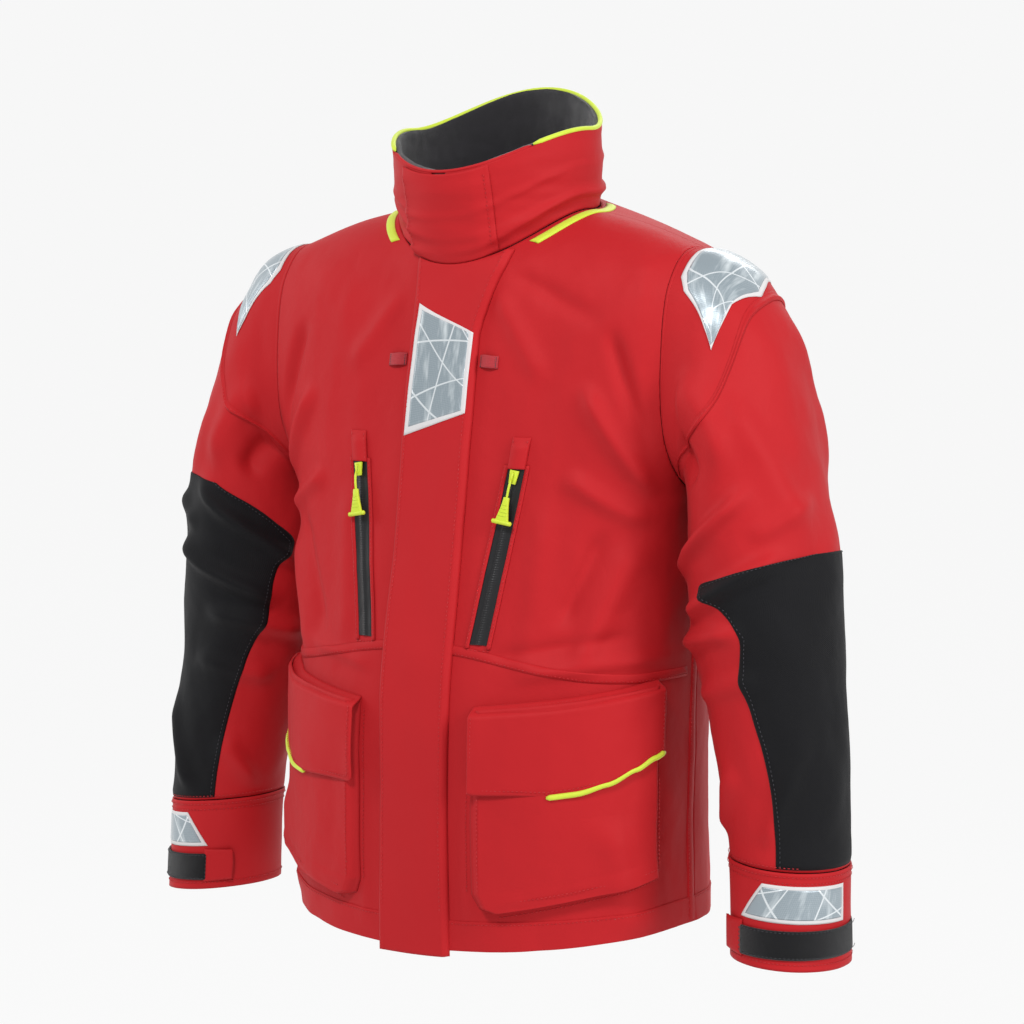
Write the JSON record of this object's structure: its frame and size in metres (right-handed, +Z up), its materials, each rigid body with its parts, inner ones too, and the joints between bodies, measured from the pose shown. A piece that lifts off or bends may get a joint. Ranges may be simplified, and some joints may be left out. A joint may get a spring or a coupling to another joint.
{
  "type": "foul weather jacket",
  "caption": "Waterproof sailing jacket with a tall fleece-lined collar, storm flap over the zip, chest zips, cargo pockets and adjustable cuffs.",
  "frame": {"origin": "middle of the neck opening, level with the nape seam, where the wearer's neck carries the jacket", "axes": "+X towards the wearer's left, front of the jacket faces -Y, +Z up"},
  "size_m": [0.834, 0.3693, 0.882],
  "materials": {
    "red_shell": "matt coated woven nylon shell",
    "lining": "smooth black lining",
    "fleece": "brushed black fleece",
    "black_tape": "woven black tape",
    "zip_plastic": "moulded black acetal",
    "coated_zip": "black polyurethane coated zip tape",
    "reinforcement": "heavy black woven nylon",
    "hook_and_loop": "black loop pile tape",
    "reflective_tape": "prismatic silver reflective film with a white welded edge",
    "hi_vis": "bright yellow-green edging and pulls"
  },
  "bodies": {
    "jacket": {"front_panel_left": "red_shell", "front_panel_right": "red_shell", "back_panel": "red_shell", "body_lining": "lining", "hanging_loop": "black_tape", "collar_outer": "red_shell", "collar_lining": "fleece", "collar_piping": "hi_vis", "collar_seam_trim": "hi_vis", "zip_guard": "black_tape", "main_zip_tape": "black_tape", "main_zip_chain": "zip_plastic", "storm_flap_edge": "red_shell", "lanyard_loops": "red_shell", "chest_zip_left": "coated_zip", "chest_zip_right": "coated_zip", "zip_garage_left": "red_shell", "zip_garage_right": "red_shell", "cargo_pocket_left": "red_shell", "cargo_pocket_right": "red_shell"},
    "storm_flap": {"storm_flap": "red_shell", "flap_reflector": "reflective_tape"},
    "collar_tab": {"collar_tab": "red_shell"},
    "main_slider": {"main_zip_slider": "zip_plastic", "main_zip_pull": "zip_plastic"},
    "chest_slider_left": {"chest_slider_left": "hi_vis"},
    "chest_pull_left": {"chest_pull_left": "hi_vis"},
    "pocket_flap_left": {"pocket_flap_left": "red_shell", "flap_piping_left": "hi_vis"},
    "sleeve_left": {"sleeve_left": "red_shell", "elbow_panel_left": "reinforcement", "shoulder_reflector_left": "reflective_tape", "cuff_left": "red_shell", "cuff_reflector_left": "reflective_tape"},
    "cuff_tab_left": {"cuff_strap_left": "hook_and_loop", "cuff_tab_left": "red_shell"},
    "chest_slider_right": {"chest_slider_right": "hi_vis"},
    "chest_pull_right": {"chest_pull_right": "hi_vis"},
    "pocket_flap_right": {"pocket_flap_right": "red_shell", "flap_piping_right": "hi_vis"},
    "sleeve_right": {"sleeve_right": "red_shell", "elbow_panel_right": "reinforcement", "shoulder_reflector_right": "reflective_tape", "cuff_right": "red_shell", "cuff_reflector_right": "reflective_tape"},
    "cuff_tab_right": {"cuff_strap_right": "hook_and_loop", "cuff_tab_right": "red_shell"}
  },
  "joints": [
    {"name": "shoulder_left_swing", "type": "hinge", "parent": "jacket", "child": "sleeve_left", "pos_m": [0.235, 0.012, -0.183], "axis": [-1, 0, 0], "range_deg": [-20, 60]},
    {"name": "shoulder_right_swing", "type": "hinge", "parent": "jacket", "child": "sleeve_right", "pos_m": [-0.235, 0.012, -0.183], "axis": [-1, 0, 0], "range_deg": [-20, 60]},
    {"name": "storm_flap_fold", "type": "hinge", "parent": "jacket", "child": "storm_flap", "pos_m": [0.0672, -0.124, -0.085], "axis": [0.019, 0.0979, 0.995], "range_deg": [0, 60]},
    {"name": "collar_tab_fold", "type": "hinge", "parent": "jacket", "child": "collar_tab", "pos_m": [0.05729, -0.0928, -0.05141], "axis": [0.0085, -0.231, 0.9729], "range_deg": [0, 60]},
    {"name": "main_zip_slide", "type": "slide", "parent": "jacket", "child": "main_slider", "axis": [0, -0.1551, -0.9879], "range_m": [0, 0.36]},
    {"name": "chest_zip_left_slide", "type": "slide", "parent": "jacket", "child": "chest_slider_left", "axis": [-0.1424, -0.1565, -0.9774], "range_m": [0, 0.1595]},
    {"name": "chest_pull_left_swing", "type": "hinge", "parent": "chest_slider_left", "child": "chest_pull_left", "pos_m": [0.09283, -0.12836, -0.29737], "axis": [-0.9896, 0, 0.1442], "range_deg": [0, 110]},
    {"name": "chest_zip_right_slide", "type": "slide", "parent": "jacket", "child": "chest_slider_right", "axis": [0.1424, -0.1565, -0.9774], "range_m": [0, 0.1595]},
    {"name": "chest_pull_right_swing", "type": "hinge", "parent": "chest_slider_right", "child": "chest_pull_right", "pos_m": [-0.09283, -0.12836, -0.29737], "axis": [-0.9896, 0, -0.1442], "range_deg": [0, 110]},
    {"name": "pocket_flap_left_lift", "type": "hinge", "parent": "jacket", "child": "pocket_flap_left", "pos_m": [0.17015, -0.13534, -0.50701], "axis": [-0.797, -0.5911, -0.124], "range_deg": [0, 60]},
    {"name": "pocket_flap_right_lift", "type": "hinge", "parent": "jacket", "child": "pocket_flap_right", "pos_m": [-0.17015, -0.13534, -0.50701], "axis": [-0.797, 0.5911, 0.124], "range_deg": [0, 60]},
    {"name": "cuff_tab_left_peel", "type": "hinge", "parent": "sleeve_left", "child": "cuff_tab_left", "pos_m": [0.40671, 0.02953, -0.75402], "axis": [-0.0217, 0.0196, 0.9996], "range_deg": [0, 50]},
    {"name": "cuff_tab_right_peel", "type": "hinge", "parent": "sleeve_right", "child": "cuff_tab_right", "pos_m": [-0.40671, 0.02953, -0.75402], "axis": [-0.0217, -0.0196, -0.9996], "range_deg": [0, 50]}
  ],
  "couplings": [
    {"joint": "collar_tab_fold", "follows": "storm_flap_fold", "ratio": 1}
  ]
}
